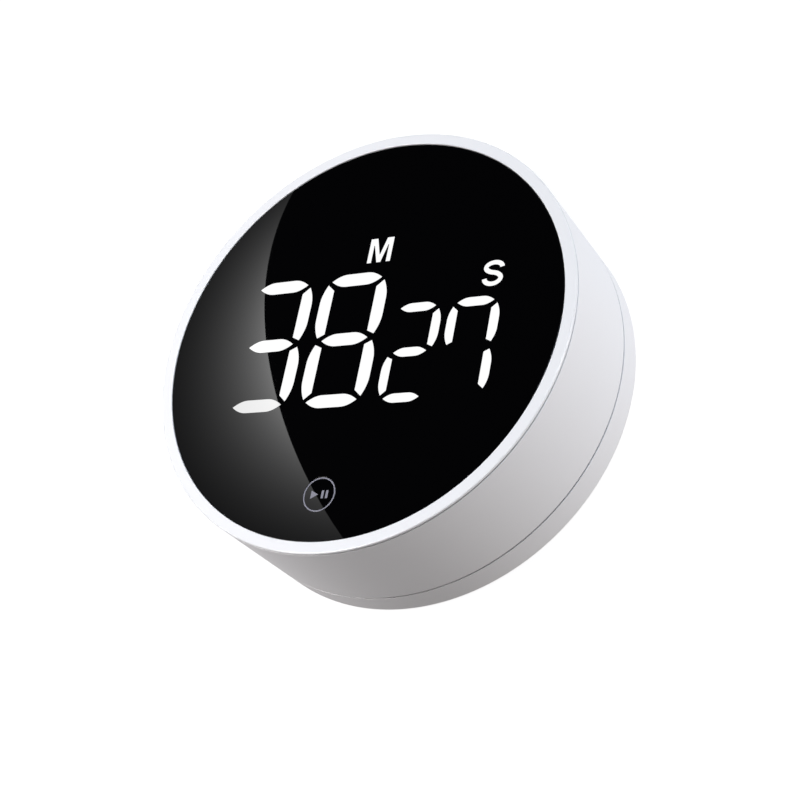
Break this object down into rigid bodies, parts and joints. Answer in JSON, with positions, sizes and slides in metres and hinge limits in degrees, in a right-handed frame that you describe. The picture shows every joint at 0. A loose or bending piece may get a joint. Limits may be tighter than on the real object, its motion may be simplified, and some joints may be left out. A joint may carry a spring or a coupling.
{
  "type": "rotary countdown timer",
  "caption": "Round white rotary countdown timer with a lit black display face, a turning outer ring, a press key, a magnetic back and a battery door.",
  "frame": {"origin": "middle of the back, on the plane that the grip ring rests on", "axes": "+Z along the ring's axis, out of the display; +Y up as the digits are read; +X to the right"},
  "size_m": [0.078, 0.078, 0.0256],
  "materials": {
    "lens": "smoked black acrylic, polished",
    "tape": "double-sided foam tape",
    "bezel": "white ABS, semi-gloss",
    "sleeve": "white ABS, fine satin",
    "acetal": "natural acetal, moulded",
    "inner_plastic": "white ABS, unpolished mould face",
    "circuit_board": "glass-filled epoxy board, green solder mask",
    "black_plastic": "black moulded nylon",
    "diffuser": "milky polycarbonate film",
    "steel": "zinc-plated steel",
    "nickel": "nickel-plated",
    "ribbon": "polyimide flat ribbon",
    "back_shell": "white ABS, fine satin",
    "rubber": "grey silicone, matte",
    "cell_jacket": "plain printed cell jacket"
  },
  "bodies": {
    "housing": {"front_lens": "lens", "lens_tape": "tape", "front_bezel": "bezel", "glide_ring": "acetal", "inner_frame": "inner_plastic", "main_board": "circuit_board", "control_chip": "black_plastic", "led_housing": "inner_plastic", "diffuser_film": "diffuser", "tact_switch_body": "black_plastic", "encoder_body": "black_plastic", "buzzer": "black_plastic", "volume_switch_body": "steel", "switch_board": "circuit_board", "switch_ribbon": "ribbon", "back_cover": "back_shell", "grip_ring": "rubber", "battery_box": "black_plastic", "cell_1": "cell_jacket", "cell_2": "cell_jacket", "cell_3": "cell_jacket", "cell_spring_1": "steel", "cell_spring_2": "steel", "cell_spring_3": "steel", "contact_positive": "nickel", "contact_bridge_right": "nickel", "contact_bridge_left": "nickel", "contact_negative": "nickel", "magnet_1": "nickel", "magnet_2": "nickel", "magnet_3": "nickel", "magnet_4": "nickel", "case_screw_1": "steel", "case_screw_2": "steel", "case_screw_3": "steel", "case_screw_4": "steel", "board_screw_1": "steel", "board_screw_2": "steel", "board_screw_3": "steel"},
    "ring": {"rotary_sleeve": "sleeve"},
    "pinion": {"encoder_shaft": "steel", "drive_pinion": "acetal"},
    "key": {"key_cap": "lens", "tact_switch_plunger": "acetal"},
    "volume": {"volume_slider": "black_plastic"},
    "door": {"battery_door": "back_shell"}
  },
  "joints": [
    {"name": "ring_turn", "type": "hinge", "parent": "housing", "child": "ring", "pos_m": [0, 0, 0.015], "axis": [0, 0, 1], "continuous": true},
    {"name": "pinion_spin", "type": "hinge", "parent": "housing", "child": "pinion", "pos_m": [0, 0.03, 0.0078], "axis": [0, 0, 1], "continuous": true},
    {"name": "key_press", "type": "slide", "parent": "housing", "child": "key", "axis": [0, 0, -1], "range_m": [0, 0.0004], "stiffness_N_per_m": 1500, "springref_m": -0.0003},
    {"name": "volume_slide", "type": "slide", "parent": "housing", "child": "volume", "axis": [0, 1, 0], "range_m": [-0.00175, 0.00175]},
    {"name": "door_tip", "type": "hinge", "parent": "housing", "child": "door", "pos_m": [0.0256, 0, 0.0005], "axis": [0, -1, 0], "range_deg": [0, 50]}
  ],
  "couplings": [
    {"joint": "pinion_spin", "follows": "ring_turn", "ratio": 6}
  ]
}
